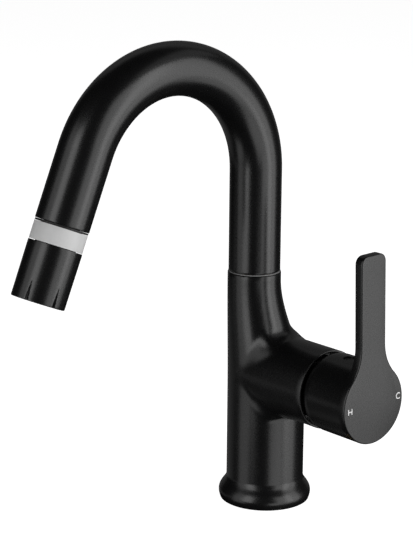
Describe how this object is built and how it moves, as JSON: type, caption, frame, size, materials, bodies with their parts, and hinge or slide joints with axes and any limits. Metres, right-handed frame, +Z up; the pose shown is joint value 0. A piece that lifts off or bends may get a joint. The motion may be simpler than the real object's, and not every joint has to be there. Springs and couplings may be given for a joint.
{
  "type": "pull-down faucet",
  "caption": "Single-lever pull-down faucet: a high-arc swivelling spout with a docked spray head, on a round column with a side barrel and blade lever.",
  "frame": {"origin": "centre of the round foot's underside, on the deck's top face", "axes": "+Z up, -Y the way the spout reaches at rest, +X along the barrel to the lever"},
  "size_m": [0.1159, 0.2006, 0.3664],
  "materials": {
    "black_coat": "matt black powder coat",
    "black_plastic": "matt",
    "light_grey_plastic": "matt",
    "grey_plastic": "matt",
    "white_plastic": "satin",
    "stainless": "brushed",
    "brass": "machined",
    "black_rubber": "matt",
    "ceramic": "polished alumina ceramic",
    "hose": "woven nylon braid"
  },
  "bodies": {
    "root": {"faucet_body": "black_coat", "base_gasket": "black_rubber", "mounting_shank": "brass", "deck_rubber_washer": "black_rubber", "deck_steel_washer": "stainless", "mounting_nut": "brass", "hot_inlet_nipple": "brass", "cold_inlet_nipple": "brass", "outlet_nipple": "brass", "cartridge_seal": "black_rubber", "cartridge_housing": "grey_plastic", "ceramic_fixed_disc": "ceramic", "cartridge_nut": "black_coat", "bonnet": "black_coat", "spray_hose_lower": "hose", "hose_connector": "brass"},
    "spout": {"spout_tube": "black_coat", "swivel_washer": "light_grey_plastic", "swivel_sleeve": "brass", "sleeve_o_ring_lower": "black_rubber", "sleeve_o_ring_upper": "black_rubber", "sleeve_lock_ring": "stainless", "dock_bush": "white_plastic", "spray_hose_spout": "hose"},
    "rotor": {"cartridge_rotor": "white_plastic", "lever_pin": "stainless"},
    "disc": {"ceramic_moving_disc": "ceramic", "disc_carrier": "grey_plastic"},
    "lever": {"handle": "black_coat", "cartridge_stem": "stainless", "set_screw": "stainless", "set_screw_plug": "black_plastic"},
    "head": {"docking_collar": "light_grey_plastic", "head_core": "black_plastic", "hose_nut": "brass", "check_valve": "grey_plastic", "head_o_ring": "black_rubber", "spray_hose_head": "hose"},
    "nozzle": {"nozzle_shell": "black_coat", "aerator_housing": "grey_plastic", "spray_face": "grey_plastic"}
  },
  "joints": [
    {"name": "spout_swivel", "type": "hinge", "parent": "root", "child": "spout", "pos_m": [-0.004, -0.007, 0.1393], "axis": [0, 0, 1], "range_deg": [-180, 180]},
    {"name": "lever_turn", "type": "hinge", "parent": "root", "child": "rotor", "pos_m": [0.04, 0, 0.07925], "axis": [1, 0, 0], "range_deg": [-52, 48]},
    {"name": "lever_lift", "type": "hinge", "parent": "rotor", "child": "lever", "pos_m": [0.0615, 0, 0.07925], "axis": [0, 0.9994, 0.0349], "range_deg": [0, 18]},
    {"name": "disc_slide", "type": "slide", "parent": "rotor", "child": "disc", "axis": [0, -0.0349, 0.9994], "range_m": [0, 0.0049]},
    {"name": "head_pull", "type": "slide", "parent": "spout", "child": "head", "axis": [0, -0.3827, -0.9239], "range_m": [0, 0.14]},
    {"name": "nozzle_twist", "type": "hinge", "parent": "head", "child": "nozzle", "pos_m": [-0.004, -0.12772, 0.22241], "axis": [0, -0.3827, -0.9239], "range_deg": [0, 90]}
  ],
  "couplings": [
    {"joint": "disc_slide", "follows": "lever_lift", "m_per_rad": 0.0155}
  ]
}
